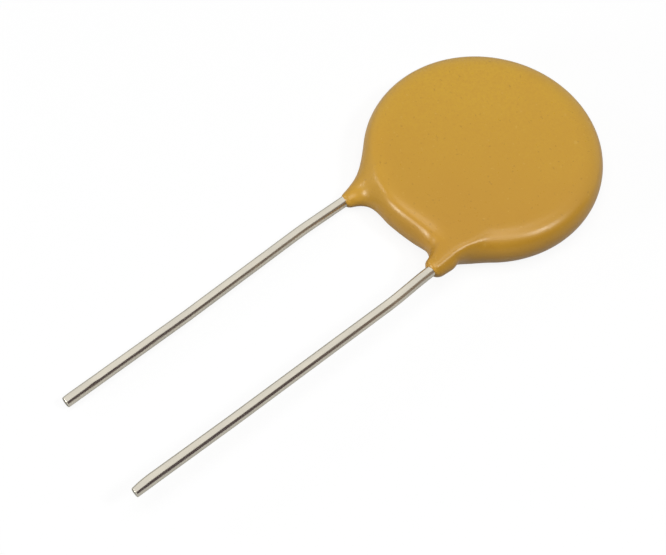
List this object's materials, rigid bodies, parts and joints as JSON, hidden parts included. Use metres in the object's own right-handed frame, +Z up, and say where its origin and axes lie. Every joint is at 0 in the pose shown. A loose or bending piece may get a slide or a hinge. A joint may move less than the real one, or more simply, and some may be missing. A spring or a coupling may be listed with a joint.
{
  "type": "disc varistor",
  "caption": "Round flat disc dipped in ochre resin, with straight wire leads that leave its rim side by side for soldering to a circuit board.",
  "frame": {"origin": "centre of the flat back face that the part lies on, under the middle of the disc", "axes": "+Z up out of the front face; the leads run out along -Y, the front lead on the +X side and the back lead on the -X side"},
  "size_m": [0.022, 0.0552, 0.0041],
  "materials": {
    "resin": "semi-gloss dipped epoxy with a faint mottle",
    "oxide_ceramic": "sintered, matt",
    "fired_silver": "matt fired silver",
    "solder": "dull tin solder",
    "tinned_wire": "bright tinned copper with drawing marks"
  },
  "bodies": {
    "root": {"coating": "resin", "ceramic_disc": "oxide_ceramic", "front_electrode": "fired_silver", "back_electrode": "fired_silver", "front_solder": "solder", "back_solder": "solder", "front_lead": "tinned_wire", "back_lead": "tinned_wire"}
  },
  "joints": []
}
